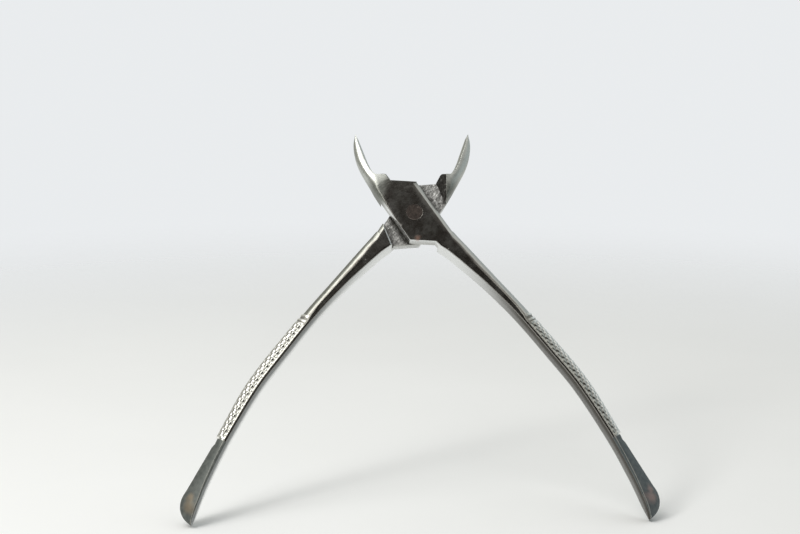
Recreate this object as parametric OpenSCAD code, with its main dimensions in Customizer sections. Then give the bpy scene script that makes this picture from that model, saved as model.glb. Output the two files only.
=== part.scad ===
// Cuticle nipper: two identical forged levers that cross at a half-lap joint on one flush rivet.
// Millimetres. The origin is on the hinge axis, in the flat back face that the tool lies on.
// +X is to the right, +Z towards the jaw tips, and -Y is the front. The hinge axis is Y.
// A lever is drawn closed about its mid-plane, with its jaw tip on the plane x = 0. It is then turned
// open and moved forward by half the thickness.

/* [Overall] */
// Distance from the pivot to the jaw tips, measured with the tool closed
jaw_reach = 27.5; // [26:0.5:30]
// Distance from the pivot to the handle ends, measured with the tool closed
handle_reach = 99.3; // [92:0.5:110]
// Distance from the front face to the back face
thickness = 6.2; // [5.8:0.1:7]
// Angle between the two levers in the rest pose; the jaw tips touch at 0
open_angle = 65.7; // [0:0.1:95]

/* [Jaws] */
// Distance of a jaw's outer edge from the centreline at the jaw's root
jaw_root_x = 5.3; // [5.1:0.1:5.6]
// Half the widest opening left between the closed jaws
jaw_hollow = 2.1; // [1.7:0.05:2.3]
// Gap left between each heel and the centreline when the tips touch
heel_gap = 0.1; // [0.05:0.05:0.3]
// Thickness of a jaw at its tip, front to back
tip_thickness = 2.2; // [1.6:0.1:3]
// Width of the bevel that leads to the cutting edge
bevel_w = 0.7; // [0.4:0.05:0.9]

/* [Lap joint] */
// Width of each plate
plate_w = 10.8; // [10.6:0.1:11]
// Distance from the pivot to the plate's slanted end beside the jaws
plate_top = 8.7; // [8.5:0.1:8.8]
// Distance from the pivot to the plate's slanted end beside the handles
plate_bottom = 7.9; // [7.6:0.1:8.4]
// Direction that the plate's upper end faces, measured from +X in the front view
plate_end_angle = 53.3; // [52:0.1:55]
// Distance from the pivot to the recess wall on the jaw side
jaw_shoulder = 9.1; // [9:0.1:9.3]
// Distance from the pivot to the recess wall on the handle side
handle_shoulder = 8.8; // [8.6:0.1:9.1]
// Running gap between the two plates
lap_gap = 0.06; // [0.04:0.01:0.1]

/* [Rivet] */
// Diameter of the rivet's shank
rivet_d = 3.4; // [3:0.1:3.8]
// Diameter of the rivet's flush heads at the two faces
rivet_head_d = 4.3; // [4.1:0.1:4.8]
// Radial clearance around the rivet in the lever that turns on it
rivet_clearance = 0.04; // [0.02:0.01:0.08]

/* [Handles] */
// Distance of a handle's outer edge from the centreline at its widest place, without the knurling
belly_x = 11.7; // [11:0.1:12.5]
// Thickness of the grip from its inner face to its domed outer edge
grip_depth = 3.85; // [3.6:0.05:4.4]
// Width of the flat strip on the front and back of the grip
strip_w = 1.05; // [0.8:0.05:1.3]
// Distance from the pivot to the start of the knurled band
knurl_start = 41.6; // [40:0.5:46]
// Distance from the pivot to the end of the knurled band
knurl_end = 77.4; // [73:0.5:80]
// Height of the knurled band above the plain handle
knurl_rise = 0.3; // [0.1:0.05:0.4]
// Depth of the neck between the knurled band and the plain handle end
neck_depth = 0.28; // [0.1:0.02:0.4]

/* [Hidden] */
steel = [0.62, 0.62, 0.60];
rivet_steel = [0.50, 0.49, 0.47];
half_t = thickness / 2;
half_plate = plate_w / 2;
// Height at which each slanted plate end meets the centreline, and the plate's side
top_root = plate_top / sin(plate_end_angle);
bottom_root = plate_bottom / sin(plate_end_angle);
top_corner = end_height(plate_top, half_plate);
bottom_corner = end_height(plate_bottom, half_plate);
jaw_len = jaw_reach - top_root;
handle_len = handle_reach - bottom_root;
// The nose rounds the handle's end in to nose_inner_x; power 2 would be an ellipse, and more is blunter.
// It stops just short of its end, at this share of its half height.
nose_len = 5.9;
nose_inner_x = 3.6;
nose_power = 2.2;
nose_stop = 0.08;
// Points on a rounded corner less one, and facets on the rivet
corner_n = 5;
round_fn = 96;
// Flat left on an edge that would otherwise be infinitely sharp
edge_land = 0.03;
// How far cutting shapes run past the metal, and past a face that they cut flush
cut_reach = 20;
cut_over = 1;
sliver = 0.01;
// How far the jaw-side wall has leaned back at scoop_reach along it, measured at the lever's face
scoop_reach = 8.4;
scoop_run = 3.4;
shoulder_chamfer_w = 0.35;

// Corners of the sections as [width, depth, power]: power 2 is an elliptical round and 1 a flat chamfer
plate_end_corner = [0.2, 0.2, 1.2];
heel_corner = [0.3, 0.3, 1.5];
plate_left_corner = [0.2, 0.2, 1.2];
plate_right_corner = [1.1, 0.7, 1.25];
jaw_root_corner = [1.3, 1.8, 2];
handle_inner_corner = [0.7, 1.9, 2];

// ---------- smooth curves ----------

// Rise over run from point i to the next
function grade(p, i) = (p[i + 1][1] - p[i][1]) / (p[i + 1][0] - p[i][0]);

// Slope at point i of a smooth curve through [station, value] points. It is level at a high or low
// point, so the curve never runs past its points.
function slope(p, i) =
    i == 0 ? grade(p, 0) :
    i == len(p) - 1 ? grade(p, i - 1) :
    let (a = grade(p, i - 1), b = grade(p, i))
    a * b <= 0 ? 0 : 2 * a * b / (a + b);

// Index of the span that holds station s
function span(p, s, i = 0) = (i >= len(p) - 2 || s <= p[i + 1][0]) ? i : span(p, s, i + 1);

// Value at station s on a smooth curve through points p; past either end it keeps the end value
function curve(p, s) =
    let (
        i = span(p, s),
        w = p[i + 1][0] - p[i][0],
        t = min(max((s - p[i][0]) / w, 0), 1),
        a = slope(p, i) * w,
        b = slope(p, i + 1) * w
    )
    p[i][1] * (1 + 2 * t) * pow(1 - t, 2) + a * t * pow(1 - t, 2)
    + p[i + 1][1] * t * t * (3 - 2 * t) - b * t * t * (1 - t);

function steps(from, to, n) = [for (i = [1 : n]) from + (to - from) * i / n];

// ---------- lever outline, front view, closed ----------
// Jaw stations run from 0 at the plate to 1 at the tip. Handle stations run from 0 at the plate
// to 1 at the handle's end. Values are distances from the centreline.

jaw_outer = [
    [0, jaw_root_x], [0.19, jaw_root_x - 0.1], [0.39, 4.95], [0.57, 4.4],
    [0.74, 3.4], [0.895, 1.95], [1, 0.32]
];
jaw_inner = [
    [0.136, heel_gap], [0.16, 0.3], [0.187, 1], [0.226, 1.75], [0.274, jaw_hollow - 0.1],
    [0.346, jaw_hollow], [0.46, 1.87], [0.654, 1.15], [0.834, 0.45], [0.943, 0.08], [1, 0.03]
];
handle_outer = [
    [-0.01, half_plate], [0.046, half_plate + 0.95], [0.157, 7.8], [0.38, belly_x - 1.3],
    [0.58, belly_x], [0.76, belly_x - 1.25], [0.925, 9.5]
];
handle_inner = [
    [0, 0], [0.018, 0.2], [0.04, 0.85], [0.113, 2.6], [0.191, 4.25], [0.313, belly_x - 5.65],
    [0.447, belly_x - grip_depth - 0.75], [0.58, belly_x - grip_depth], [0.725, 7.3],
    [0.87, 5.75], [1, 3.4]
];
// Width of the flat that is left on the handle's faces beside its rounded outer side
handle_flat = [
    [0, half_plate - plate_right_corner[0]], [0.035, 3.5], [0.124, 2.25], [0.213, 1.85],
    [0.281, strip_w + 0.6], [0.322, strip_w + 0.35], [0.34, strip_w], [0.8, strip_w], [0.93, 0.75], [1, 0.1]
];

// Height of the handle's outer side above its plain outline, by distance from the pivot: two bars across
// the handle, the knurled band, and a shallow neck before the plain end
band = [
    [knurl_start - 2.7, 0], [knurl_start - 2.45, knurl_rise], [knurl_start - 2.1, knurl_rise],
    [knurl_start - 1.85, 0.02], [knurl_start - 1.35, 0.02], [knurl_start - 1.1, knurl_rise],
    [knurl_start - 0.75, knurl_rise], [knurl_start - 0.45, 0.05], [knurl_start, knurl_rise],
    [knurl_end, knurl_rise], [knurl_end + 0.4, -0.7 * neck_depth], [knurl_end + 1.8, -neck_depth],
    [knurl_end + 2.3, -0.4 * neck_depth], [knurl_end + 2.8, 0]
];

// Height at distance x from the centreline on a slanted end at this distance from the pivot
function end_height(distance, x) = (distance - x * cos(plate_end_angle)) / sin(plate_end_angle);

// The same line the other way round: distance from the centreline at height z
function end_x(distance, z) = (distance - z * sin(plate_end_angle)) / cos(plate_end_angle);

// The other leg of a rounded corner whose legs, raised to this power, add up to 1
function other_leg(t, power) = pow(1 - pow(t, power), 1 / power);

// The nose rounds the handle's outer edge in from x towards its inner edge
function nose_x(z, x) =
    let (t = min(max((z - handle_reach + nose_len) / nose_len, 0), 1))
    nose_inner_x + (x - nose_inner_x) * other_leg(t, nose_power);

// ---------- lever sections ----------
// A section is [left x, right x, half thickness, left corner, right corner]

function blend_corner(a, b, t) = a + (b - a) * min(max(t, 0), 1);

function fit_corner(c, room, h) = [min(c[0], room), min(c[1], h - edge_land), c[2]];

function jaw_section(z) =
    let (
        s = (z - top_root) / jaw_len,
        left = -curve(jaw_outer, s),
        right = -curve(jaw_inner, s),
        room = right - left,
        h = curve([
            [0, half_t], [0.03, half_t - 0.01], [0.15, 2.86], [0.3, 2.5], [0.45, 2.2], [0.75, 1.7],
            [1, tip_thickness / 2]
        ], s),
        outer_w = curve([[0, jaw_root_corner[0]], [0.2, 2.4], [0.4, 2.2], [0.75, 1.7], [1, 0.15]], s),
        outer_d = curve([
            [0, jaw_root_corner[1]], [0.12, 2.4], [0.45, 1.8], [0.75, 1.4], [1, 0.8 * tip_thickness / 2]
        ], s),
        inner_w = curve([[0.14, heel_corner[0]], [0.27, bevel_w], [0.9, bevel_w], [1, 0.12]], s),
        inner_d = curve([[0.14, heel_corner[1]], [0.27, half_t], [1, half_t]], s)
    )
    [left, right, h,
     fit_corner([outer_w, outer_d, 2], room * 0.7, h),
     fit_corner([inner_w, inner_d, 1.15], room * 0.3, h)];

function plate_section(z) =
    let (
        on_top_end = end_x(plate_top, z) < half_plate,
        on_bottom_end = end_x(plate_bottom, -z) < half_plate,
        rise = (z + bottom_corner) / (top_root + bottom_corner),
        side = half_plate + (jaw_root_x - half_plate) * max(rise, 0),
        swell = pow(max(rise, 0), 3)
    )
    [on_bottom_end ? -end_x(plate_bottom, -z) : -side,
     on_top_end ? max(end_x(plate_top, z), -heel_gap) : half_plate,
     half_t,
     on_bottom_end ? plate_end_corner : blend_corner(plate_left_corner, jaw_root_corner, swell),
     on_top_end ? plate_end_corner : plate_right_corner];

function handle_section(z) =
    let (
        s = (-z - bottom_root) / handle_len,
        left = curve(handle_inner, s),
        right = nose_x(-z, curve(handle_outer, s)) + lookup(-z, band),
        room = right - left,
        h = curve([[0.91, half_t], [0.95, 2.9], [0.98, 2.2], [1, 1]], s),
        outer_w = room - curve(handle_flat, s),
        outer_d = curve([
            [0, plate_right_corner[1]], [0.035, 1.6], [0.11, 2.2], [0.22, 2.8], [0.33, half_t]
        ], s),
        outer_power = curve([[0, plate_right_corner[2]], [0.05, 2], [0.76, 2], [0.785, 1.4]], s),
        inner = blend_corner(plate_end_corner, handle_inner_corner, s / 0.05)
    )
    [left, right, h,
     fit_corner(inner, room * 0.3, h),
     fit_corner([outer_w, outer_d, outer_power], room * 0.85, h)];

function section(z) =
    z > top_root ? jaw_section(z) : z > -bottom_root ? plate_section(z) : handle_section(z);

// A point of a rounded corner, as [in from the side, in from the face]; angle 0 is on the side
function corner_point(c, a) = [c[0] * (1 - pow(cos(a), 2 / c[2])), c[1] * (1 - pow(sin(a), 2 / c[2]))];

// One closed ring of the lever at height z, counter-clockwise seen from +Z
function ring(z) =
    let (
        q = section(z),
        up = [for (i = [0 : corner_n]) 90 * i / corner_n],
        down = [for (i = [corner_n : -1 : 0]) 90 * i / corner_n],
        left = q[0],
        right = q[1],
        h = q[2]
    )
    concat(
        [for (a = up) let (c = corner_point(q[4], a)) [right - c[0], h - c[1], z]],
        [for (a = down) let (c = corner_point(q[3], a)) [left + c[0], h - c[1], z]],
        [for (a = up) let (c = corner_point(q[3], a)) [left + c[0], c[1] - h, z]],
        [for (a = down) let (c = corner_point(q[4], a)) [right - c[0], c[1] - h, z]]
    );

// Heights of the rings, from the handle's end up to the jaw tip
nose_start = -handle_reach + nose_len;
nose_span = nose_len * other_leg(nose_stop, nose_power);
nose_turns = 10;
heel_top = top_root + 0.35 * jaw_len;
last_band = len(band) - 1;
knurl_station = 8;
ring_heights = concat(
    [for (i = [nose_turns : -1 : 0]) nose_start - nose_span * sin(90 * i / nose_turns)],
    steps(nose_start, -band[last_band][0], 8),
    [for (i = [last_band - 1 : -1 : knurl_station + 1]) -band[i][0]],
    steps(-knurl_end, -knurl_start, 22),
    [for (i = [knurl_station - 1 : -1 : 0]) -band[i][0]],
    steps(-band[0][0], -bottom_root - 4, 16),
    steps(-bottom_root - 4, -bottom_root - sliver, 8),
    [-bottom_root + sliver],
    steps(-bottom_root + sliver, -bottom_corner - sliver, 3),
    [-bottom_corner + sliver],
    steps(-bottom_corner + sliver, top_corner - sliver, 3),
    [top_corner + sliver],
    steps(top_corner + sliver, top_root - sliver, 3),
    [top_root + sliver],
    steps(top_root + sliver, heel_top, 18),
    steps(heel_top, jaw_reach, 18)
);

module lever_blank() {
    rings = [for (z = ring_heights) ring(z)];
    n = len(rings[0]);
    m = len(rings);
    sides = [
        for (j = [0 : m - 2], i = [0 : n - 1])
        let (a = j * n + i, b = j * n + (i + 1) % n)
        each [[a, a + n, b + n], [a, b + n, b]]
    ];
    bottom = [for (i = [1 : n - 2]) [0, i, i + 1]];
    top = [for (i = [1 : n - 2]) [(m - 1) * n, (m - 1) * n + i + 1, (m - 1) * n + i]];
    polyhedron(points = [for (r = rings) each r], faces = concat(sides, bottom, top), convexity = 6);
}

// ---------- cuts ----------

// Turns local +Z to the direction that the recess walls face, across the lever's back, and local +X
// along the walls towards the heel
module along_lap() {
    rotate([0, plate_end_angle - 90, 0]) children();
}

// Half-thickness channel across the lever's back, in which the other lever's plate turns
module lap_channel() {
    along_lap()
        translate([-cut_reach, -lap_gap / 2, -handle_shoulder])
            cube([2 * cut_reach, cut_reach, jaw_shoulder + handle_shoulder]);
}

// The jaw-side wall of the channel leans back, most at the heel and not at all at the outer edge
module jaw_scoop() {
    along_lap()
        hull() {
            translate([0, -lap_gap / 2, jaw_shoulder - 1])
                cube([scoop_reach, sliver, 1]);
            translate([0, half_t, jaw_shoulder - 1])
                cube([sliver, cut_over, 1]);
            translate([scoop_reach, half_t, jaw_shoulder - 1])
                cube([sliver, cut_over, 1 + scoop_run]);
        }
}

// Small chamfer along the top of the channel's handle-side wall
module shoulder_chamfer() {
    side = sqrt(2) * shoulder_chamfer_w;
    along_lap()
        translate([-cut_reach, half_t, -handle_shoulder])
            rotate([45, 0, 0])
                translate([0, -side / 2, -side / 2])
                    cube([2 * cut_reach, side, side]);
}

// The rivet from the pivot plane out to the front face, grown sideways by extra and lengthwise by over
module rivet_half(extra, over) {
    head_deep = (rivet_head_d - rivet_d) / 2;
    rotate([90, 0, 0])
        rotate_extrude($fn = round_fn)
            polygon([
                [0, -over],
                [rivet_d / 2 + extra, -over],
                [rivet_d / 2 + extra, half_t - head_deep],
                [rivet_head_d / 2 + extra, half_t],
                [rivet_head_d / 2 + extra, half_t + over],
                [0, half_t + over]
            ]);
}

// ---------- pieces ----------

// One lever, closed, with its plate in the front half and its rivet hole grown by extra
module lever(extra) {
    difference() {
        lever_blank();
        lap_channel();
        jaw_scoop();
        shoulder_chamfer();
        rivet_half(extra, cut_over);
    }
}

// A lever as it sits in the tool at rest, in front; turned over, it is the rear one
module seated(extra) {
    rotate([0, -open_angle / 2, 0]) lever(extra);
}

module to_row_frame() {
    translate([0, -half_t, 0]) children();
}

module front_lever() {
    color(steel)
        to_row_frame()
            seated(rivet_clearance);
}

module rear_lever() {
    color(steel)
        to_row_frame()
            rotate([0, 0, 180])
                seated(0);
}

module pivot_rivet() {
    color(rivet_steel)
        to_row_frame()
            union() {
                rivet_half(0, 0);
                rotate([0, 0, 180]) rivet_half(0, 0);
            }
}

front_lever();
rear_lever();
pivot_rivet();
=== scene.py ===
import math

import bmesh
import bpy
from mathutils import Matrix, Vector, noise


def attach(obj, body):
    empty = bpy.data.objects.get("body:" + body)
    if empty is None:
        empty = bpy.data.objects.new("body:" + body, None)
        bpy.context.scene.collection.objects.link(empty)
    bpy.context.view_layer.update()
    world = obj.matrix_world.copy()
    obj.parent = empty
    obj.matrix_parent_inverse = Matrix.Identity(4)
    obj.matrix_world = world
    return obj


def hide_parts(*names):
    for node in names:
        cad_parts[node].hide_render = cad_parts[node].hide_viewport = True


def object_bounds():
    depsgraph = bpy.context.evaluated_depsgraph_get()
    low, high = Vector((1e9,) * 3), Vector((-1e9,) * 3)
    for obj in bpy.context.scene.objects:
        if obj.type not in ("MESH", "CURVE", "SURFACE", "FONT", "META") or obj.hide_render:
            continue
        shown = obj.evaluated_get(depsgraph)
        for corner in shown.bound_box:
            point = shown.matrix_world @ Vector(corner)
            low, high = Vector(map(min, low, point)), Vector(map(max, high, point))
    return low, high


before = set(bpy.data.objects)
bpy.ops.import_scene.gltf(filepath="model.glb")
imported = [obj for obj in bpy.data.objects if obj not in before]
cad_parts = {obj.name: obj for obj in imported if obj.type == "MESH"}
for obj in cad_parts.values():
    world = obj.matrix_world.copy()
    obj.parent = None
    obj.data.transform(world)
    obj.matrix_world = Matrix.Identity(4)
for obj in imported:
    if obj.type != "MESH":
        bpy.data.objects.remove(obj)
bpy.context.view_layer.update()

# The looks of a cuticle nipper: two forged steel levers that cross at a half-lap joint on one flush rivet.
# Sizes are in millimetres until a mesh is made. A lever is drawn closed about its own mid-plane, with the
# hinge axis on Y, its jaw along +Z and its jaw tip on the plane x = 0. It is then turned open and moved
# forward by half the thickness, so that its back lies in the row frame's plane y = 0.

MM = 0.001

# ---------- sizes, the same as the CAD's ----------

JAW_REACH = 27.5
HANDLE_REACH = 99.3
THICKNESS = 6.2
OPEN_ANGLE = 65.7
JAW_ROOT_X = 5.3
JAW_HOLLOW = 2.1
HEEL_GAP = 0.1
TIP_THICKNESS = 2.2
BEVEL_W = 0.7
PLATE_W = 10.8
PLATE_TOP = 8.7
PLATE_BOTTOM = 7.9
PLATE_END_ANGLE = math.radians(53.3)
JAW_SHOULDER = 9.1
HANDLE_SHOULDER = 8.8
LAP_GAP = 0.06
RIVET_D = 3.4
RIVET_HEAD_D = 4.3
RIVET_CLEARANCE = 0.04
BELLY_X = 11.7
GRIP_DEPTH = 3.85
STRIP_W = 1.05
KNURL_START = 41.6
KNURL_END = 77.4
KNURL_RISE = 0.3
NECK_DEPTH = 0.28
NOSE_LEN = 5.9
NOSE_INNER_X = 3.6
NOSE_POWER = 2.2

HALF_T = THICKNESS / 2
HALF_PLATE = PLATE_W / 2
TOP_ROOT = PLATE_TOP / math.sin(PLATE_END_ANGLE)
BOTTOM_ROOT = PLATE_BOTTOM / math.sin(PLATE_END_ANGLE)
JAW_LEN = JAW_REACH - TOP_ROOT
HANDLE_LEN = HANDLE_REACH - BOTTOM_ROOT

# Corners of the sections as (width, depth, power): power 2 is an elliptical round and 1 a flat chamfer
PLATE_END_CORNER = (0.2, 0.2, 1.2)
HEEL_CORNER = (0.3, 0.3, 1.5)
PLATE_LEFT_CORNER = (0.2, 0.2, 1.2)
PLATE_RIGHT_CORNER = (1.1, 0.7, 1.25)
JAW_ROOT_CORNER = (1.3, 1.8, 2)
HANDLE_INNER_CORNER = (0.7, 1.9, 2)
EDGE_LAND = 0.03

# Outlines as (station, distance from the centreline); stations run from 0 at the plate to 1 at the end
JAW_OUTER = [
    (0, JAW_ROOT_X), (0.19, JAW_ROOT_X - 0.1), (0.39, 4.95), (0.57, 4.4),
    (0.74, 3.4), (0.895, 1.95), (1, 0.32),
]
JAW_INNER = [
    (0.136, HEEL_GAP), (0.16, 0.3), (0.187, 1), (0.226, 1.75), (0.274, JAW_HOLLOW - 0.1),
    (0.346, JAW_HOLLOW), (0.46, 1.87), (0.654, 1.15), (0.834, 0.45), (0.943, 0.08), (1, 0.03),
]
HANDLE_OUTER = [
    (-0.01, HALF_PLATE), (0.046, HALF_PLATE + 0.95), (0.157, 7.8), (0.38, BELLY_X - 1.3),
    (0.58, BELLY_X), (0.76, BELLY_X - 1.25), (0.925, 9.5),
]
HANDLE_INNER = [
    (0, 0), (0.018, 0.2), (0.04, 0.85), (0.113, 2.6), (0.191, 4.25), (0.313, BELLY_X - 5.65),
    (0.447, BELLY_X - GRIP_DEPTH - 0.75), (0.58, BELLY_X - GRIP_DEPTH), (0.725, 7.3), (0.87, 5.75), (1, 3.4),
]
# Width of the flat left on the handle's faces beside its rounded outer side
HANDLE_FLAT = [
    (0, HALF_PLATE - PLATE_RIGHT_CORNER[0]), (0.035, 3.5), (0.124, 2.25), (0.213, 1.85),
    (0.281, STRIP_W + 0.6), (0.322, STRIP_W + 0.35), (0.34, STRIP_W), (0.8, STRIP_W), (0.93, 0.75), (1, 0.1),
]
# Height of the handle's outer side above its plain outline, by distance from the pivot: two bars across
# the handle, the knurled band, and a shallow neck before the plain end
BAND = [
    (KNURL_START - 2.7, 0), (KNURL_START - 2.45, KNURL_RISE), (KNURL_START - 2.1, KNURL_RISE),
    (KNURL_START - 1.85, 0.02), (KNURL_START - 1.35, 0.02), (KNURL_START - 1.1, KNURL_RISE),
    (KNURL_START - 0.75, KNURL_RISE), (KNURL_START - 0.45, 0.05), (KNURL_START, KNURL_RISE),
    (KNURL_END, KNURL_RISE), (KNURL_END + 0.4, -0.7 * NECK_DEPTH), (KNURL_END + 1.8, -NECK_DEPTH),
    (KNURL_END + 2.3, -0.4 * NECK_DEPTH), (KNURL_END + 2.8, 0),
]


# ---------- smooth curves ----------

def grade(points, i):
    """Slope of the straight line from point i to the next."""
    return (points[i + 1][1] - points[i][1]) / (points[i + 1][0] - points[i][0])


def slope(points, i):
    """Slope at point i: level at a high or low point, so that the curve never runs past its points."""
    if i == 0:
        return grade(points, 0)
    if i == len(points) - 1:
        return grade(points, i - 1)
    a, b = grade(points, i - 1), grade(points, i)
    return 0 if a * b <= 0 else 2 * a * b / (a + b)


def clamp(value, low=0.0, high=1.0):
    return min(max(value, low), high)


def smooth(value, low, high):
    """0 below low and 1 above high, with a smooth change between them."""
    t = clamp((value - low) / (high - low))
    return t * t * (3 - 2 * t)


def curve(points, s):
    """Value at station s on a smooth curve through the points; past either end it keeps the end value."""
    i = 0
    while i < len(points) - 2 and s > points[i + 1][0]:
        i += 1
    width = points[i + 1][0] - points[i][0]
    t = clamp((s - points[i][0]) / width)
    a, b = slope(points, i) * width, slope(points, i + 1) * width
    start, end = points[i][1], points[i + 1][1]
    return (start * (1 + 2 * t) * (1 - t) ** 2 + a * t * (1 - t) ** 2
            + end * t * t * (3 - 2 * t) - b * t * t * (1 - t))


def polyline(points, s):
    """Value at station s on straight lines between the points."""
    for (s0, v0), (s1, v1) in zip(points, points[1:]):
        if s <= s1:
            return v0 + (v1 - v0) * clamp((s - s0) / (s1 - s0))
    return points[-1][1]


# ---------- lever sections ----------
# A section is (left x, right x, half thickness, left corner, right corner)

def end_height(distance, x):
    """Height at x on a slanted plate end that is this far from the pivot."""
    return (distance - x * math.cos(PLATE_END_ANGLE)) / math.sin(PLATE_END_ANGLE)


def end_x(distance, z):
    """The x at which a slanted plate end this far from the pivot has height z."""
    return (distance - z * math.sin(PLATE_END_ANGLE)) / math.cos(PLATE_END_ANGLE)


TOP_CORNER = end_height(PLATE_TOP, HALF_PLATE)
BOTTOM_CORNER = end_height(PLATE_BOTTOM, HALF_PLATE)


def other_leg(t, power):
    """The other leg of a rounded corner whose legs, raised to this power, add up to 1."""
    return (1 - t ** power) ** (1 / power)


def nose_x(z, x):
    """The outer side's x, drawn in over the last stretch to the handle's rounded end."""
    t = clamp((z - HANDLE_REACH + NOSE_LEN) / NOSE_LEN)
    return NOSE_INNER_X + (x - NOSE_INNER_X) * other_leg(t, NOSE_POWER)


def blend_corner(a, b, t):
    t = clamp(t)
    return tuple(u + (v - u) * t for u, v in zip(a, b))


def fit_corner(corner, room, h):
    """The corner, made small enough for the room there is across and in depth."""
    return min(corner[0], room), min(corner[1], h - EDGE_LAND), corner[2]


def jaw_section(z):
    s = (z - TOP_ROOT) / JAW_LEN
    left, right = -curve(JAW_OUTER, s), -curve(JAW_INNER, s)
    room = right - left
    h = curve([
        (0, HALF_T), (0.03, HALF_T - 0.01), (0.15, 2.86), (0.3, 2.5), (0.45, 2.2), (0.75, 1.7),
        (1, TIP_THICKNESS / 2),
    ], s)
    outer_w = curve([(0, JAW_ROOT_CORNER[0]), (0.2, 2.4), (0.4, 2.2), (0.75, 1.7), (1, 0.15)], s)
    outer_d = curve([
        (0, JAW_ROOT_CORNER[1]), (0.12, 2.4), (0.45, 1.8), (0.75, 1.4), (1, 0.8 * TIP_THICKNESS / 2),
    ], s)
    inner_w = curve([(0.14, HEEL_CORNER[0]), (0.27, BEVEL_W), (0.9, BEVEL_W), (1, 0.12)], s)
    inner_d = curve([(0.14, HEEL_CORNER[1]), (0.27, HALF_T), (1, HALF_T)], s)
    return (left, right, h,
            fit_corner((outer_w, outer_d, 2), room * 0.7, h),
            fit_corner((inner_w, inner_d, 1.15), room * 0.3, h))


def plate_section(z):
    on_top_end = end_x(PLATE_TOP, z) < HALF_PLATE
    on_bottom_end = end_x(PLATE_BOTTOM, -z) < HALF_PLATE
    rise = (z + BOTTOM_CORNER) / (TOP_ROOT + BOTTOM_CORNER)
    side = HALF_PLATE + (JAW_ROOT_X - HALF_PLATE) * max(rise, 0)
    swell = max(rise, 0) ** 3
    left = -end_x(PLATE_BOTTOM, -z) if on_bottom_end else -side
    right = max(end_x(PLATE_TOP, z), -HEEL_GAP) if on_top_end else HALF_PLATE
    side_corner = blend_corner(PLATE_LEFT_CORNER, JAW_ROOT_CORNER, swell)
    left_corner = PLATE_END_CORNER if on_bottom_end else side_corner
    right_corner = PLATE_END_CORNER if on_top_end else PLATE_RIGHT_CORNER
    return left, right, HALF_T, left_corner, right_corner


def handle_section(z):
    s = (-z - BOTTOM_ROOT) / HANDLE_LEN
    left = curve(HANDLE_INNER, s)
    right = nose_x(-z, curve(HANDLE_OUTER, s)) + polyline(BAND, -z)
    room = right - left
    h = curve([(0.91, HALF_T), (0.95, 2.9), (0.98, 2.2), (1, 1)], s)
    outer_w = room - curve(HANDLE_FLAT, s)
    outer_d = curve([(0, PLATE_RIGHT_CORNER[1]), (0.035, 1.6), (0.11, 2.2), (0.22, 2.8), (0.33, HALF_T)], s)
    outer_power = curve([(0, PLATE_RIGHT_CORNER[2]), (0.05, 2), (0.76, 2), (0.785, 1.4)], s)
    inner = blend_corner(PLATE_END_CORNER, HANDLE_INNER_CORNER, s / 0.05)
    return (left, right, h,
            fit_corner(inner, room * 0.3, h),
            fit_corner((outer_w, outer_d, outer_power), room * 0.85, h))


def section(z):
    if z > TOP_ROOT:
        return jaw_section(z)
    return plate_section(z) if z > -BOTTOM_ROOT else handle_section(z)


# ---------- lever skin ----------

MARKS = ("groove", "ridge", "inner")
DIAMONDS = 7           # knurl diamonds round the handle's half-round outer side
DIAMOND_LEN = 2.17     # knurl pitch along the handle
DIAMOND_STEPS = 4      # mesh steps across half a diamond
ROW_STEPS = 6          # mesh steps along half a diamond
GROOVE_DEPTH = 0.24
OUTER_STEPS = DIAMONDS * DIAMOND_STEPS
INNER_STEPS = 10
FACE_STEPS = 7
WAVE_DEPTH = 0.03      # how far hand grinding has left the skin uneven
STRIP_DROP = 0.1       # how far the grip's flat strips lie below the ridge of its outer side
RIDGE_FADE = (16, 28)  # distances from the pivot between which that step grows to its full height


def corner_point(corner, angle):
    """A point of a rounded corner, as (in from the side, in from the face); angle 0 is on the side."""
    width, depth, power = corner
    return (width * (1 - max(math.cos(angle), 0) ** (2 / power)),
            depth * (1 - max(math.sin(angle), 0) ** (2 / power)))


def quarter(steps):
    return [math.pi / 2 * i / steps for i in range(steps + 1)]


def knurl_groove(turn, z):
    """Depth of the crossed grooves, 0 on a diamond's top and 1 where two grooves cross.

    turn is the angle round the handle's outer side, 0 at its outermost line."""
    u = turn / (math.pi / 2) * DIAMONDS
    v = (z - KNURL_START) / (DIAMOND_LEN / 2)
    first = abs((u + v) % 2 - 1)
    second = abs((u - v) % 2 - 1)
    near, far = sorted((first, second))
    wall = 1 - smooth(near, 0.0, 0.62)
    crossing = (1 - near) * (1 - far)
    return 0.7 * wall + 0.3 * crossing


def band_fade(turn, z):
    """How strong the knurling is: full on the band, and nothing on the flat strips."""
    along = smooth(z, KNURL_START - 0.1, KNURL_START + 0.5) * (1 - smooth(z, KNURL_END - 0.6, KNURL_END))
    return along * (1 - smooth(abs(turn), math.radians(79), math.radians(87)))


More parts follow.
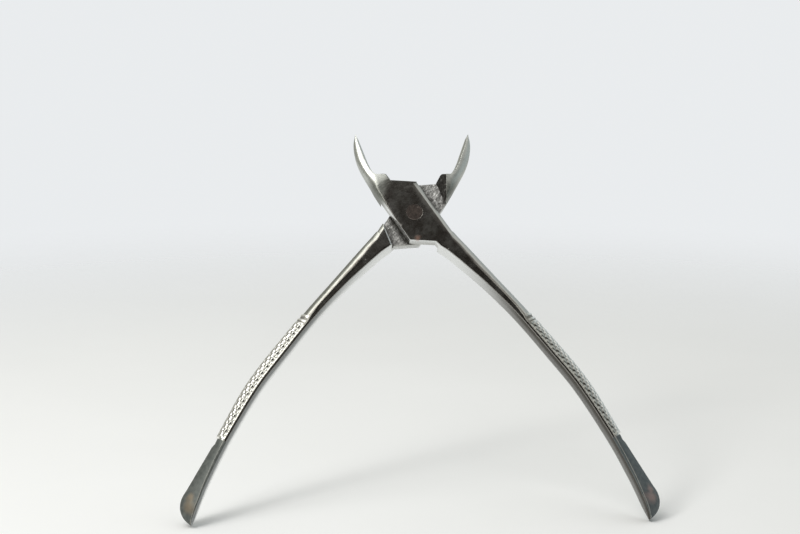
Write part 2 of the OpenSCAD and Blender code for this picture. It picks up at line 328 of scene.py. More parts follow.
def skin_ring(z):
    """One ring of skin points at height z, counter-clockwise seen from +Z, as (place, inset, marks).

    The marks are groove, which is 1 at the bottom of a groove and in the low places between and after the two
    bars, where painted shade goes, ridge, which is 1 on the grip's worn ridge lines, where a painted
    highlight goes as well, and inner, which is 1 on the inner side."""
    left, right, h, left_corner, right_corner = section(z)
    outer, inner = quarter(OUTER_STEPS), quarter(INNER_STEPS)
    step = smooth(-z, *RIDGE_FADE)
    flat_h = h - min(STRIP_DROP, h / 10) * step
    points = []

    # The low places between and after the two bars take the groove mark too, so that the material paints
    # shade there
    dip = smooth(-z, KNURL_START - 2.1, KNURL_START - 1.95)
    dip *= 1 - smooth(polyline(BAND, -z) / KNURL_RISE, 0.4, 0.95)
    dip *= 1 - smooth(-z, KNURL_START - 0.1, KNURL_START)

    def add(x, y, inset=0.0, groove=0.0, ridge=0.0, inner_side=0.0):
        points.append((Vector((x, y, z)), inset, (groove, ridge * step, inner_side)))

    def add_outer(angle, side):
        in_x, in_y = corner_point(right_corner, angle)
        groove = knurl_groove(side * angle, -z) * band_fade(angle, -z)
        on_ridge = smooth(angle, math.radians(82), math.radians(87))
        add(right - in_x, side * (h - in_y), GROOVE_DEPTH * groove, max(groove, dip), on_ridge)

    def add_inner(angle, side):
        in_x, in_y = corner_point(left_corner, angle)
        add(left + in_x, side * flat_h * (1 - in_y / h), inner_side=1.0)

    def add_face(start, end, side):
        for i in range(1, FACE_STEPS):
            add(start + (end - start) * i / FACE_STEPS, side * flat_h)

    face_right, face_left = right - right_corner[0], left + left_corner[0]
    for angle in outer:
        add_outer(angle, 1)
    add_face(face_right, face_left, 1)
    for angle in reversed(inner):
        add_inner(angle, 1)
    for angle in inner:
        add_inner(angle, -1)
    add_face(face_left, face_right, -1)
    for angle in reversed(outer):
        add_outer(angle, -1)
    return points


def steps(start, end, size):
    """Even steps from start to end, without start, of about this size."""
    count = max(1, round(abs(end - start) / size))
    return [start + (end - start) * i / count for i in range(1, count + 1)]


def ring_heights():
    nose_start = -HANDLE_REACH + NOSE_LEN
    nose_turns = 26
    heights = [nose_start - NOSE_LEN * 0.998 * math.sin(math.pi / 2 * i / nose_turns)
               for i in range(nose_turns, -1, -1)]
    sliver = 0.01
    for end, size in (
        (-80.4, 0.4), (-KNURL_END, 0.12), (-KNURL_START, DIAMOND_LEN / 2 / ROW_STEPS), (-38.8, 0.1),
        (-BOTTOM_ROOT - 4, 0.5), (-BOTTOM_ROOT - sliver, 0.25), (-BOTTOM_ROOT + sliver, 1),
        (-BOTTOM_CORNER - sliver, 0.4), (-BOTTOM_CORNER + sliver, 1), (TOP_CORNER - sliver, 0.5),
        (TOP_CORNER + sliver, 1), (TOP_ROOT - sliver, 0.4), (TOP_ROOT + sliver, 1),
        (TOP_ROOT + 0.35 * JAW_LEN, 0.12), (JAW_REACH, 0.2),
    ):
        heights += steps(heights[-1], end, size)
    return heights


def unevenness(point, seed):
    """0 to 1: the slow waves that forging and hand grinding leave in the skin."""
    place = Vector((point.x / 4, point.y / 4, point.z / 7)) + Vector((seed, 0, 0))
    return clamp(0.5 + 0.6 * noise.noise(place) + 0.25 * noise.noise(place * 2.7))


def make_skin(seed):
    """The closed lever without its cuts, as a bmesh in lever millimetres."""
    rings = [skin_ring(z) for z in ring_heights()]
    count, last = len(rings[0]), len(rings) - 1
    bm = bmesh.new()
    layers = [bm.verts.layers.float.new(name) for name in MARKS]
    rows = []
    for j, ring in enumerate(rings):
        below, above = rings[max(j - 1, 0)], rings[min(j + 1, last)]
        row = []
        for i, (point, inset, marks) in enumerate(ring):
            around = ring[(i + 1) % count][0] - ring[i - 1][0]
            outward = around.cross(above[i][0] - below[i][0]).normalized()
            if 0 < j < last:
                inset += WAVE_DEPTH * unevenness(point, seed)
            vert = bm.verts.new(point - outward * inset)
            for layer, mark in zip(layers, marks):
                vert[layer] = mark
            row.append(vert)
        rows.append(row)
    for low, high in zip(rows, rows[1:]):
        for i in range(count):
            bm.faces.new((low[i], low[(i + 1) % count], high[(i + 1) % count], high[i]))
    bm.faces.new(reversed(rows[0]))
    bm.faces.new(rows[-1])
    return bm


# ---------- cuts ----------

LAP_TURN = Matrix.Rotation(PLATE_END_ANGLE - math.pi / 2, 4, "Y")
CUT_REACH = 20
CUT_OVER = 1
SCOOP_REACH = 8.4
SCOOP_RUN = 3.4
SHOULDER_CHAMFER_W = 0.35
FLOOR_STEP = 0.16      # mesh step on the recess floor
FLOOR_RELIEF = 0.10    # how far the rough forged floor dips below the lap plane
FORGED, CAST, MILLED, WORN = range(4)    # material slots of a lever


def box_mesh(low, high):
    bm = bmesh.new()
    bmesh.ops.create_cube(bm, size=1)
    low, high = Vector(low), Vector(high)
    for vert in bm.verts:
        vert.co = Vector((low[i] + (high[i] - low[i]) * (vert.co[i] + 0.5) for i in range(3)))
    return bm


def floor_dip(x, z, seed):
    """How far the rough recess floor lies below the lap plane at this place."""
    lumps = noise.noise(Vector((x / 0.9, z / 0.9, seed)))
    grains = noise.noise(Vector((x / 0.35, z / 0.35, seed + 5)))
    return FLOOR_RELIEF * clamp(0.5 + 0.75 * lumps + 0.45 * grains)


def lap_channel(seed):
    """The channel for the other lever's plate; its floor is a fine grid that dips below the lap plane."""
    bm = bmesh.new()
    columns = [-CUT_REACH] + steps(-CUT_REACH, -14, 6) + steps(-14, 14, FLOOR_STEP) + steps(14, CUT_REACH, 6)
    rows = [-HANDLE_SHOULDER] + steps(-HANDLE_SHOULDER, JAW_SHOULDER, FLOOR_STEP)
    floor = [[bm.verts.new((x, -LAP_GAP / 2 - floor_dip(x, z, seed), z)) for x in columns] for z in rows]
    for low, high in zip(floor, floor[1:]):
        for i in range(len(columns) - 1):
            bm.faces.new((low[i], high[i], high[i + 1], low[i + 1]))
    right_edge = [row[-1] for row in floor[:-1]]
    left_edge = [row[0] for row in floor[:0:-1]]
    rim = floor[0][:-1] + right_edge + floor[-1][:0:-1] + left_edge
    lid = [bm.verts.new((vert.co.x, CUT_REACH, vert.co.z)) for vert in rim]
    for i in range(len(rim)):
        after = (i + 1) % len(rim)
        bm.faces.new((rim[i], rim[after], lid[after], lid[i]))
    bm.faces.new(lid)
    bmesh.ops.recalc_face_normals(bm, faces=bm.faces)
    bm.transform(LAP_TURN)
    return bm


def jaw_scoop():
    """The channel's jaw-side wall leans back, most at the heel and not at all at the outer edge."""
    sliver = 0.01
    base = JAW_SHOULDER - 1
    bm = bmesh.new()
    for low, high in (
        ((0, -LAP_GAP / 2, base), (SCOOP_REACH, -LAP_GAP / 2 + sliver, base + 1)),
        ((0, HALF_T, base), (sliver, HALF_T + CUT_OVER, base + 1)),
        ((SCOOP_REACH, HALF_T, base), (SCOOP_REACH + sliver, HALF_T + CUT_OVER, base + 1 + SCOOP_RUN)),
    ):
        for corner in range(8):
            bm.verts.new([(low, high)[corner >> i & 1][i] for i in range(3)])
    hull = bmesh.ops.convex_hull(bm, input=bm.verts)
    inside = list(set(hull["geom_interior"] + hull["geom_unused"]))
    bmesh.ops.delete(bm, geom=[v for v in inside if isinstance(v, bmesh.types.BMVert)], context="VERTS")
    bm.transform(LAP_TURN)
    return bm


def shoulder_chamfer():
    half = SHOULDER_CHAMFER_W / math.sqrt(2)
    bm = box_mesh((-CUT_REACH, -half, -half), (CUT_REACH, half, half))
    place = Matrix.Translation((0, HALF_T, -HANDLE_SHOULDER)) @ Matrix.Rotation(math.pi / 4, 4, "X")
    bm.transform(LAP_TURN @ place)
    return bm


def revolve(profile, turns=128):
    """A solid of revolution about Y from (radius, y) points that start and end on the axis."""
    bm = bmesh.new()
    rings = []
    for radius, y in profile:
        if radius == 0:
            rings.append([bm.verts.new((0, y, 0))])
        else:
            angles = [2 * math.pi * i / turns for i in range(turns)]
            rings.append([bm.verts.new((radius * math.cos(a), y, radius * math.sin(a))) for a in angles])
    for low, high in zip(rings, rings[1:]):
        for i in range(turns):
            after = (i + 1) % turns
            corners = [low[i % len(low)], high[i % len(high)], high[after % len(high)], low[after % len(low)]]
            bm.faces.new(list(dict.fromkeys(corners)))
    bmesh.ops.recalc_face_normals(bm, faces=bm.faces)
    return bm


def rivet_hole(extra):
    """The hole for the front half of the rivet, grown sideways by extra."""
    head_deep = (RIVET_HEAD_D - RIVET_D) / 2
    shank, head = RIVET_D / 2 + extra, RIVET_HEAD_D / 2 + extra
    return revolve([
        (0, CUT_OVER), (shank, CUT_OVER), (shank, head_deep - HALF_T), (head, -HALF_T),
        (head, -HALF_T - CUT_OVER), (0, -HALF_T - CUT_OVER),
    ])


# ---------- pieces ----------

def link(bm, name, finish=FORGED):
    """A bmesh as an object; every face remembers its finish, which is its material slot."""
    layer = bm.faces.layers.int.new("finish")
    for face in bm.faces:
        face[layer] = finish
    mesh = bpy.data.meshes.new(name)
    bm.to_mesh(mesh)
    bm.free()
    piece = bpy.data.objects.new(name, mesh)
    bpy.context.scene.collection.objects.link(piece)
    return piece


def subtract(piece, cutters):
    """Cuts the cutters from the piece, then removes them."""
    for cutter in cutters:
        cut = piece.modifiers.new(cutter.name, "BOOLEAN")
        cut.operation = "DIFFERENCE"
        cut.solver = "MANIFOLD"
        cut.object = cutter
    bpy.context.view_layer.update()
    evaluated = piece.evaluated_get(bpy.context.evaluated_depsgraph_get())
    cut_mesh = bpy.data.meshes.new_from_object(evaluated)
    piece.modifiers.clear()
    piece.data = cut_mesh
    for cutter in cutters:
        bpy.data.objects.remove(cutter)


def finish_piece(piece, placing, materials, sharp_degrees):
    """Keeps the lever coordinates for the materials, then sets the piece in the row frame, in metres."""
    mesh = piece.data
    mesh.name = piece.name
    lever_mm = mesh.attributes.new("lever_mm", "FLOAT_VECTOR", "POINT")
    for vert in mesh.vertices:
        lever_mm.data[vert.index].vector = vert.co
    mesh.transform(Matrix.Scale(MM, 4) @ placing)
    mesh.materials.clear()
    for material in materials:
        mesh.materials.append(material)
    finish = mesh.attributes["finish"]
    for face in mesh.polygons:
        face.material_index = finish.data[face.index].value
    mesh.shade_smooth()
    mesh.set_sharp_from_angle(angle=math.radians(sharp_degrees))


TO_ROW = Matrix.Translation((0, -HALF_T, 0))
OPEN_TURN = Matrix.Rotation(-math.radians(OPEN_ANGLE / 2), 4, "Y")
TURN_OVER = Matrix.Rotation(math.pi, 4, "Z")


def make_lever(name, seed, extra, placing, materials):
    lever = link(make_skin(seed), name)
    subtract(lever, [
        link(lap_channel(seed), name + "_channel", CAST),
        link(jaw_scoop(), name + "_scoop", MILLED),
        link(shoulder_chamfer(), name + "_chamfer", WORN),
        link(rivet_hole(extra), name + "_hole", CAST),
    ])
    finish_piece(lever, placing, materials, 42)
    return lever


def make_rivet(name, materials):
    """The shank with its two flush heads; each rim is broken by a tiny round."""
    head_deep = (RIVET_HEAD_D - RIVET_D) / 2
    rim = 0.03
    half = [(0, -HALF_T), (RIVET_HEAD_D / 2 - rim, -HALF_T), (RIVET_HEAD_D / 2, rim - HALF_T),
            (RIVET_D / 2, head_deep - HALF_T)]
    profile = half + [(radius, -y) for radius, y in reversed(half)]
    rivet = link(revolve(profile), name)
    finish_piece(rivet, TO_ROW, materials, 30)
    return rivet


# ---------- materials ----------

class Nodes:
    """Adds and links the nodes of one material or world."""

    def __init__(self, owner):
        owner.use_nodes = True
        self.tree = owner.node_tree
        self.tree.nodes.clear()

    def add(self, kind, feeds=None, **settings):
        node = self.tree.nodes.new(kind)
        for name, value in settings.items():
            setattr(node, name, value)
        for socket, value in (feeds or {}).items():
            if isinstance(value, bpy.types.NodeSocket):
                self.tree.links.new(value, node.inputs[socket])
            else:
                node.inputs[socket].default_value = value
        return node

    def attribute(self, name, output):
        return self.add("ShaderNodeAttribute", attribute_name=name).outputs[output]

    def math(self, operation, *values):
        return self.add("ShaderNodeMath", dict(enumerate(values)), operation=operation).outputs[0]

    def dot(self, a, b):
        return self.add("ShaderNodeVectorMath", {0: a, 1: b}, operation="DOT_PRODUCT").outputs["Value"]

    def ramp(self, value, low, high, start=0.0, end=1.0):
        """A smooth change from start at low to end at high."""
        feeds = {"Value": value, "From Min": low, "From Max": high, "To Min": start, "To Max": end}
        return self.add("ShaderNodeMapRange", feeds, interpolation_type="SMOOTHSTEP").outputs["Result"]

    def within(self, value, low, high, soft):
        """1 between low and high, with soft edges inside them."""
        rise = self.ramp(value, low, low + soft)
        fall = self.ramp(value, high - soft, high, 1.0, 0.0)
        return self.math("MULTIPLY", rise, fall)

    def color(self, factor, a, b):
        """The colour a where factor is 0 and b where it is 1."""
        return self.add("ShaderNodeMix", {0: factor, 6: a, 7: b}, data_type="RGBA").outputs[2]

    def value(self, factor, a, b):
        """The number a where factor is 0 and b where it is 1."""
        return self.add("ShaderNodeMix", {0: factor, 2: a, 3: b}).outputs[0]

    def stretch(self, vector, scale, shift=(0, 0, 0)):
        feeds = {"Vector": vector, "Scale": scale, "Location": shift}
        return self.add("ShaderNodeMapping", feeds).outputs[0]

    def noise(self, vector, scale=1.0, detail=3.0, roughness=0.5):
        feeds = {"Vector": vector, "Scale": scale, "Detail": detail, "Roughness": roughness}
        return self.add("ShaderNodeTexNoise", feeds).outputs[0]

    def surface(self, color, roughness, normal):
        """The material's metal surface, joined to its output."""
        feeds = {"Base Color": color, "Metallic": 1.0, "Roughness": roughness, "Normal": normal}
        shader = self.add("ShaderNodeBsdfPrincipled", feeds)
        self.add("ShaderNodeOutputMaterial", {"Surface": shader.outputs[0]})

    def spot(self, place, centre, radius):
        """1 at the centre and 0 beyond the radius, with a ragged edge."""
        away = self.add("ShaderNodeVectorMath", {0: place, 1: centre}, operation="DISTANCE").outputs["Value"]
        ragged = self.math("MULTIPLY_ADD", self.noise(place, 1.2 / radius, 4), radius, away)
        return self.ramp(ragged, radius * 0.6, radius * 1.4, 1.0, 0.0)


class Finish:
    """Colour and roughness of a metal surface, built up layer over layer."""

    def __init__(self, nodes, color, roughness):
        self.nodes, self.color, self.roughness = nodes, color, roughness

    def cover(self, mask, color, roughness):
        self.color = self.nodes.color(mask, self.color, color)
        self.roughness = self.nodes.value(mask, self.roughness, roughness)


def rgb(red, green, blue):
    return red, green, blue, 1.0


def lever_steel(name, seed, back, satin_tones, end_tones, flank_tone, flank_fade, stains, specks):
    """Forged steel: faces painted dark, satin rounds and jaw, polished inner side with painted shade and
    reflection, dull ends, and knurling with painted highlights and painted shade.

    back is 1 if the lever's +Y side is the tool's back, and -1 if its -Y side is. The tones are the darkest
    and lightest colour of the satin rounds and of the handle's end, and the colour of the inner side's
    front, a painted shade, which turns into a pale painted reflection between the two depths of flank_fade,
    in mm towards the back. stains are (place on the lever, radius, colour), and specks are small dents
    painted as bright glints, as (place, radius)."""
    material = bpy.data.materials.new(name)
    n = Nodes(material)
    place = n.attribute("lever_mm", "Vector")
    groove, ridge, inner = (n.attribute(mark, "Fac") for mark in MARKS)
    normal = n.add("ShaderNodeNewGeometry").outputs["Normal"]
    axes = n.add("ShaderNodeSeparateXYZ", {0: place})
    across, deep, along = axes.outputs[0], axes.outputs[1], axes.outputs[2]
    shifted = n.stretch(place, (1, 1, 1), (seed * 13, seed * 7, seed * 5))

    facing = n.math("ABSOLUTE", n.dot(normal, (0, 1, 0)))
    flat = n.ramp(facing, 0.93, 0.985)
    bevel = n.add("ShaderNodeBevel", {"Radius": 0.12 * MM}, samples=6).outputs[0]
    edge = n.ramp(n.dot(bevel, normal), 0.985, 0.86)

    cloud = n.noise(shifted, 0.4, 6, 0.62)
    mottle = n.noise(shifted, 0.9, 5, 0.6)
    grain = n.noise(n.stretch(shifted, (9, 9, 0.5)), 1.0, 4, 0.6)
    cross_grain = n.noise(n.stretch(shifted, (0.8, 9, 7)), 1.0, 4, 0.6)
    dust = n.ramp(n.noise(shifted, 4.0, 1), 0.80, 0.84)

    satin = n.color(n.ramp(grain, 0.35, 0.7), *satin_tones)
    finish = Finish(n, satin, n.ramp(mottle, 0.3, 0.7, 0.27, 0.36))

    # The inner side: its round is painted a darker, shaded grey, and its polished flank is painted too: dark
    # shade in front, and a pale painted reflection of the floor near the plate and towards the back
    shaded = n.color(n.ramp(grain, 0.35, 0.7), rgb(0.27, 0.262, 0.245), rgb(0.36, 0.35, 0.335))
    finish.cover(inner, shaded, 0.36)
    polished = n.math("MULTIPLY", inner, n.ramp(facing, 0.5, 0.8, 1.0, 0.0))
    to_back = n.math("MULTIPLY", deep, back)
    # Painted reflection: where the flank turns pale it stands for the pale floor that it mirrors
    bright = n.math("MAXIMUM", n.ramp(along, -42, -14), n.ramp(to_back, *flank_fade))
    flank = n.color(bright, flank_tone, rgb(0.78, 0.79, 0.785))
    finish.cover(polished, flank, n.ramp(mottle, 0.3, 0.7, 0.20, 0.30))

    # The jaw's ground finish starts at a slanted line across the lever
    above_line = n.math("MULTIPLY_ADD", across, -0.78, along)
    above_line = n.math("MULTIPLY_ADD", cross_grain, 2.4, above_line)
    jaw = n.ramp(above_line, 11.0, 14.6)
    ground = n.color(n.ramp(cross_grain, 0.3, 0.7), rgb(0.47, 0.485, 0.455), rgb(0.60, 0.61, 0.58))
    finish.cover(jaw, ground, n.ramp(mottle, 0.3, 0.7, 0.28, 0.36))
    # Painted shade at the jaw's root: a darker brushed colour tones down the highlight there
    root = n.math("MULTIPLY", n.ramp(along, 4.5, 8.5), n.ramp(along, 10.5, 16.0, 0.9, 0.0))
    brushed_root_shade = n.color(n.ramp(cross_grain, 0.35, 0.7), rgb(0.10, 0.105, 0.092), rgb(0.27, 0.275, 0.25))
    finish.cover(root, brushed_root_shade, 0.42)

    # The flat faces are polished, and their colour is painted dark, a painted reflection of the dark room in
    # front of the tool
    dark = n.color(n.ramp(cloud, 0.3, 0.7), rgb(0.12, 0.108, 0.095), rgb(0.275, 0.268, 0.25))
    finish.cover(n.math("MULTIPLY", flat, n.math("SUBTRACT", 1.0, jaw)), dark,
                 n.ramp(cross_grain, 0.3, 0.75, 0.20, 0.25))

    # The plain end of the handle is dull
    end = n.ramp(along, -KNURL_END - 0.6, -KNURL_END, 1.0, 0.0)
    dull = n.color(n.ramp(mottle, 0.3, 0.7), *end_tones)
    finish.cover(n.math("MULTIPLY", end, n.math("SUBTRACT", 1.0, polished)), dull,
                 n.ramp(mottle, 0.3, 0.7, 0.62, 0.70))

    # The bars and the knurling have bright tops, a painted highlight, with painted shade in the grooves
    # between them and in the low places between the bars
    lengthwise = n.within(along, -KNURL_END - 0.5, -KNURL_START + 2.8, 0.2)
    on_band = n.math("MULTIPLY", lengthwise, n.math("SUBTRACT", 1.0, inner))
    rounded = n.math("MULTIPLY", on_band, n.ramp(facing, 0.985, 0.995, 1.0, 0.0))
    tops = n.color(n.ramp(mottle, 0.3, 0.7), rgb(0.84, 0.83, 0.79), rgb(0.94, 0.93, 0.90))
    # Towards the flat faces the tops are painted darker, as painted shade that narrows the lamps' highlight
    # on the round
    tops = n.color(n.ramp(n.math("ABSOLUTE", deep), 2.3, 2.9), tops, rgb(0.42, 0.425, 0.395))
    finish.cover(rounded, tops, 0.26)
    # Painted shade in the knurl's grooves and in the low places between and after the two bars
    groove_shade = n.math("MULTIPLY", rounded, n.ramp(groove, 0.35, 0.9))
    finish.cover(n.math("MULTIPLY", groove_shade, 0.85), rgb(0.17, 0.163, 0.145), 0.5)

    # Wear and painted highlights: the grip's ridge lines and all sharp edges are rubbed bright and also carry
    # a painted highlight, with dust, stains, and dents painted as bright glints
    finish.cover(n.math("MULTIPLY", ridge, n.value(end, 0.7, 0.35)), rgb(0.74, 0.72, 0.65), 0.42)
    edge_wear_and_highlight = n.math("MULTIPLY", edge, n.value(jaw, 0.6, 0.1))
    finish.cover(edge_wear_and_highlight, rgb(0.78, 0.765, 0.71), 0.3)
    finish.cover(n.math("MULTIPLY", dust, 0.35), rgb(0.75, 0.73, 0.68), 0.4)
    for centre, radius, stain in stains:
        finish.cover(n.math("MULTIPLY", n.spot(place, centre, radius), 0.6), stain, 0.5)
    # Painted glints: the small dents are bright spots of colour
    for centre, radius in specks:
        finish.cover(n.spot(place, centre, radius), rgb(0.85, 0.84, 0.80), 0.6)

    grain_depth = n.value(n.math("MAXIMUM", flat, jaw), 0.5, 0.08)
    height = n.math("ADD", n.math("MULTIPLY", grain, grain_depth), n.math("MULTIPLY", mottle, 0.25))
    feeds = {"Strength": 1.0, "Distance": 0.010 * MM, "Height": height, "Normal": bevel}
    bump = n.add("ShaderNodeBump", feeds)
    n.surface(finish.color, finish.roughness, bump.outputs[0])
    return material


def cast_steel(name, seed):
    """The rough forged recess: light grey with dark pits and streaks, and painted shade in its corners."""
    material = bpy.data.materials.new(name)
    n = Nodes(material)
    place = n.attribute("lever_mm", "Vector")
    shifted = n.stretch(place, (1, 1, 1), (seed * 11, seed * 3, seed * 17))
    lumps = n.noise(shifted, 0.7, 4, 0.6)
    streaks = n.noise(n.stretch(shifted, (2.3, 1, 1.0)), 1.0, 5, 0.7)
    grit = n.noise(shifted, 3.2, 3, 0.6)
    # Painted shade: ambient occlusion darkens the recess's corners
    corner = n.add("ShaderNodeAmbientOcclusion", {"Distance": 2.4 * MM}, samples=8).outputs["AO"]
    color = n.color(n.ramp(streaks, 0.36, 0.60), rgb(0.22, 0.217, 0.21), rgb(0.62, 0.62, 0.605))
    color = n.color(n.ramp(lumps, 0.35, 0.6, 0.5, 0.0), color, rgb(0.20, 0.195, 0.19))
    color = n.color(n.ramp(grit, 0.30, 0.42, 0.6, 0.0), color, rgb(0.06, 0.058, 0.055))
    color = n.color(n.ramp(corner, 0.55, 0.97, 1.0, 0.0), color, rgb(0.05, 0.048, 0.044))
    height = n.math("ADD", streaks, n.math("MULTIPLY", grit, 0.3))
    bump = n.add("ShaderNodeBump", {"Strength": 1.0, "Distance": 0.08 * MM, "Height": height})
    n.surface(color, n.ramp(streaks, 0.3, 0.7, 0.62, 0.45), bump.outputs[0])
    return material


def worn_steel(name):
    """The small chamfer along the recess: rubbed bright."""
    material = bpy.data.materials.new(name)
    n = Nodes(material)
    place = n.attribute("lever_mm", "Vector")
    scuffs = n.noise(place, 2.5, 4, 0.6)
    color = n.color(n.ramp(scuffs, 0.3, 0.7), rgb(0.62, 0.65, 0.65), rgb(0.84, 0.86, 0.86))
    bump = n.add("ShaderNodeBump", {"Strength": 1.0, "Distance": 0.02 * MM, "Height": scuffs})
    n.surface(color, n.ramp(scuffs, 0.3, 0.7, 0.50, 0.40), bump.outputs[0])
    return material


def shaded_milled_steel(name, seed):
    """The recess's leaning wall: smooth, with its colour painted near black as shade, and a few light tool
    marks that run down it.
    """
    material = bpy.data.materials.new(name)
    n = Nodes(material)
    place = n.attribute("lever_mm", "Vector")
    shifted = n.stretch(place, (1, 1, 1), (seed * 5, seed * 19, seed * 3))
    tool_marks = n.noise(n.stretch(shifted, (2.2, 0.5, 0.5)), 1.0, 4, 0.6)
    mottle = n.noise(shifted, 1.5, 4, 0.6)
    # Painted shade: the wall's colour is near black
    color = n.color(n.ramp(mottle, 0.3, 0.7), rgb(0.038, 0.036, 0.034), rgb(0.075, 0.072, 0.068))
    color = n.color(n.ramp(tool_marks, 0.56, 0.68, 0.0, 0.8), color, rgb(0.42, 0.415, 0.40))
    bump = n.add("ShaderNodeBump", {"Strength": 1.0, "Distance": 0.06 * MM, "Height": tool_marks})
    n.surface(color, n.ramp(mottle, 0.3, 0.7, 0.38, 0.5), bump.outputs[0])
    return material


def rivet_steel(name):
    """The ground-off rivet head: nearly the same as the face round it, only browner, with fine scratches."""
    material = bpy.data.materials.new(name)
    n = Nodes(material)
    place = n.attribute("lever_mm", "Vector")
    mottle = n.noise(place, 1.3, 5, 0.6)
    scratches = n.noise(n.stretch(place, (1.2, 1, 9)), 1.0, 3, 0.6)
    color = n.color(n.ramp(mottle, 0.3, 0.7), rgb(0.19, 0.162, 0.147), rgb(0.30, 0.245, 0.215))
    fleck = n.spot(place, (0.95, -HALF_T, 1.35), 0.26)
    color = n.color(fleck, color, rgb(0.62, 0.56, 0.50))
    bump = n.add("ShaderNodeBump", {"Strength": 1.0, "Distance": 0.003 * MM, "Height": scratches})
    n.surface(color, n.ramp(mottle, 0.3, 0.7, 0.21, 0.25), bump.outputs[0])
    return material


RUST = rgb(0.34, 0.17, 0.12)
ROSE = rgb(0.42, 0.30, 0.27)
BROWN = rgb(0.30, 0.235, 0.16)
FRONT = -HALF_T
# The levers are the same steel, yet their tones differ as painted light: the rear lever's satin rounds are
# painted darker, as shade that tones down the lamps' highlight on its side, and each inner flank has its own
# painted shade tone and fade
front_finish = [
    lever_steel("front_forged_steel", 1.0, 1, (rgb(0.44, 0.445, 0.425), rgb(0.58, 0.58, 0.55)),
                (rgb(0.115, 0.132, 0.136), rgb(0.18, 0.198, 0.20)), rgb(0.09, 0.085, 0.075), (0.8, 2.2),
                [((-3.3, FRONT, -6.6), 1.4, RUST), ((6.8, -2.4, -95.2), 2.6, ROSE),
                 ((8.2, -2.2, -93.0), 1.8, ROSE)],
                [((1.6, FRONT, -13.3), 0.16), ((7.7, FRONT, -78.2), 0.12), ((7.5, FRONT, -79.4), 0.10),
                 ((7.4, FRONT, -80.2), 0.12), ((7.25, FRONT, -81.3), 0.09)]),
    cast_steel("front_cast_steel", 1.0),
    shaded_milled_steel("front_milled_steel", 1.0),
    worn_steel("front_worn_steel"),
]
rear_finish = [
    lever_steel("rear_forged_steel", 2.0, -1, (rgb(0.26, 0.265, 0.24), rgb(0.38, 0.38, 0.345)),
                (rgb(0.13, 0.142, 0.136), rgb(0.205, 0.217, 0.205)), rgb(0.25, 0.26, 0.26), (-1.6, 0.6),
                [((6.5, 2.3, -96.2), 2.8, BROWN), ((7.5, 2.2, -93.8), 1.9, BROWN)],
                [((3.75, -FRONT, -18.1), 0.13)]),
    cast_steel("rear_cast_steel", 2.0),
    shaded_milled_steel("rear_milled_steel", 2.0),
    worn_steel("rear_worn_steel"),
]
front = make_lever("front_lever_forging", 3.1, RIVET_CLEARANCE, TO_ROW @ OPEN_TURN, front_finish)
rear = make_lever("rear_lever_forging", 8.6, 0, TO_ROW @ TURN_OVER @ OPEN_TURN, rear_finish)
rivet = make_rivet("flush_rivet", [rivet_steel("rivet_steel")])

for piece, body, node, slot in (
    (front, "front_half", "front_lever", "lever_steel"),
    (rear, "rear_half", "rear_lever", "lever_steel"),
    (rivet, "rear_half", "pivot_rivet", "rivet_steel"),
):
    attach(piece, body)
    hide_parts(node)


# ---------- studio ----------
# The tool stands on its two handle ends and leans back. The studio's axes are right, back and up.

LEAN = math.radians(29.94)
YAW = math.radians(2.92)
PITCH = math.radians(10.3)
ROLL = math.radians(0.18)
CAMERA_MM = (-26.2, -420.6, -163.1)
LENS = 50
SENSOR = 23.5

studio_to_row = (Matrix.Rotation(YAW, 3, "Z") @ Matrix.Rotation(-LEAN, 3, "X")).transposed()
RIGHT, BACK, UP = (studio_to_row @ Vector(axis) for axis in ((1, 0, 0), (0, 1, 0), (0, 0, 1)))
floor_height = min(v.co.dot(UP) for piece in (front, rear) for v in piece.data.vertices)
centre = sum(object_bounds(), Vector()) / 2


def pale_floor(name, radius):
    """Pale matt floor that fades into the backdrop, and that a camera under it sees through."""
    material = bpy.data.materials.new(name)
    n = Nodes(material)
    geometry = n.add("ShaderNodeNewGeometry")
    position = geometry.outputs["Position"]
    away = n.add("ShaderNodeVectorMath", {0: position, 1: tuple(centre)}, operation="DISTANCE")
    fade = n.ramp(away.outputs["Value"], radius * 0.10, radius * 0.30)
    hidden = n.math("MAXIMUM", geometry.outputs["Backfacing"], fade)
    from_camera = n.add("ShaderNodeLightPath").outputs["Is Camera Ray"]
    mottle = n.noise(position, 14, 4)
    color = n.color(n.ramp(mottle, 0.3, 0.7), rgb(0.90, 0.905, 0.905), rgb(0.915, 0.92, 0.92))
    matt = n.add("ShaderNodeBsdfDiffuse", {"Color": color})
    clear = n.add("ShaderNodeBsdfTransparent")
    seen = n.add("ShaderNodeMixShader", {
        0: n.math("MULTIPLY", hidden, from_camera), 1: matt.outputs[0], 2: clear.outputs[0],
    })
    n.add("ShaderNodeOutputMaterial", {"Surface": seen.outputs[0]})
    return material


def make_floor(radius):
    bm = bmesh.new()
    bmesh.ops.create_circle(bm, cap_ends=True, radius=radius, segments=96)
    floor = link(bm, "floor")
    under = centre + UP * (floor_height - centre.dot(UP))
    floor.matrix_world = Matrix.Translation(under) @ Matrix((RIGHT, BACK, UP)).transposed().to_4x4()
    floor.data.materials.append(pale_floor("pale_floor", radius))
    return floor


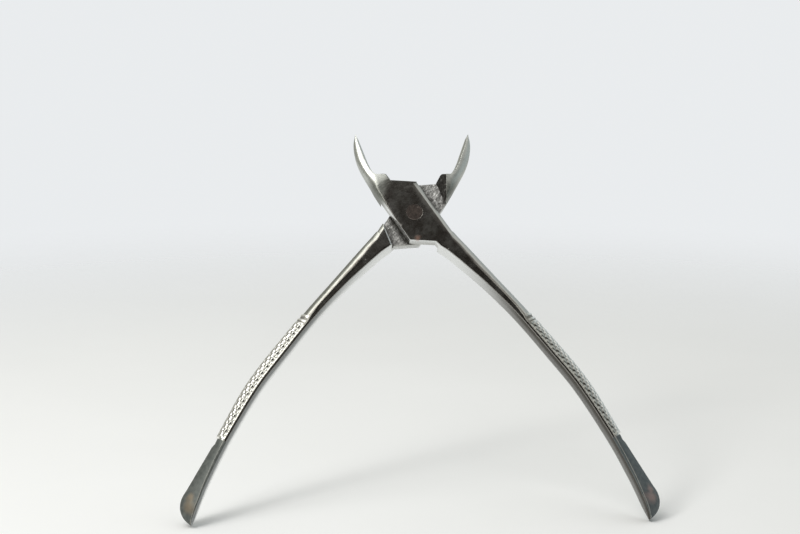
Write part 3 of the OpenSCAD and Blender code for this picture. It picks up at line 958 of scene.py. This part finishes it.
def make_world():
    """A light tent that is open towards the camera; the camera itself sees a plain pale tone."""
    world = bpy.data.worlds.new("studio")
    bpy.context.scene.world = world
    n = Nodes(world)
    toward = n.add("ShaderNodeTexCoord").outputs["Generated"]
    rightward, backward, upward = (n.dot(toward, tuple(axis)) for axis in (RIGHT, BACK, UP))
    walls = n.color(n.ramp(rightward, -0.5, 0.5), rgb(0.44, 0.44, 0.40), rgb(0.56, 0.61, 0.62))
    tent = n.color(n.ramp(upward, 0.55, 0.85), walls, rgb(0.80, 0.80, 0.775))
    room = n.color(n.ramp(upward, 0.0, 0.4), rgb(0.16, 0.15, 0.13), rgb(0.045, 0.043, 0.04))
    seen_by_steel = n.color(n.ramp(backward, -0.61, -0.40), room, tent)
    from_camera = n.add("ShaderNodeLightPath").outputs["Is Camera Ray"]
    color = n.color(from_camera, seen_by_steel, rgb(0.82, 0.84, 0.855))
    background = n.add("ShaderNodeBackground", {"Color": color, "Strength": 1.0})
    n.add("ShaderNodeOutputWorld", {"Surface": background.outputs[0]})


def softbox(name, toward, distance, size, watts, color):
    """A square area light, placed by studio direction (right, back, up) from the tool's centre."""
    light = bpy.data.lights.new(name, "AREA")
    light.size, light.energy, light.color = size, watts, color
    lamp = bpy.data.objects.new(name, light)
    bpy.context.scene.collection.objects.link(lamp)
    direction = (RIGHT * toward[0] + BACK * toward[1] + UP * toward[2]).normalized()
    lamp.location = centre + direction * distance
    lamp.rotation_mode = "QUATERNION"
    lamp.rotation_quaternion = (-direction).to_track_quat("-Z", "Y")


def make_camera():
    camera = bpy.data.objects.new("camera", bpy.data.cameras.new("camera"))
    bpy.context.scene.collection.objects.link(camera)
    camera.data.lens, camera.data.sensor_width = LENS, SENSOR
    camera.data.clip_start, camera.data.clip_end = 0.01, 10
    turn = Matrix.Rotation(math.pi / 2 - PITCH, 3, "X") @ Matrix.Rotation(ROLL, 3, "Z")
    camera.matrix_world = Matrix.Translation(Vector(CAMERA_MM) * MM) @ (studio_to_row @ turn).to_4x4()
    bpy.context.scene.camera = camera


make_floor(1.6)
make_world()
softbox("key", (-0.85, -0.75, 0.75), 0.70, 0.15, 0.95, (1.0, 0.985, 0.95))
softbox("top_left", (-0.42, -0.28, 0.85), 0.60, 0.38, 1.5, (1.0, 0.99, 0.965))
make_camera()
bpy.context.scene.view_settings.view_transform = "Standard"
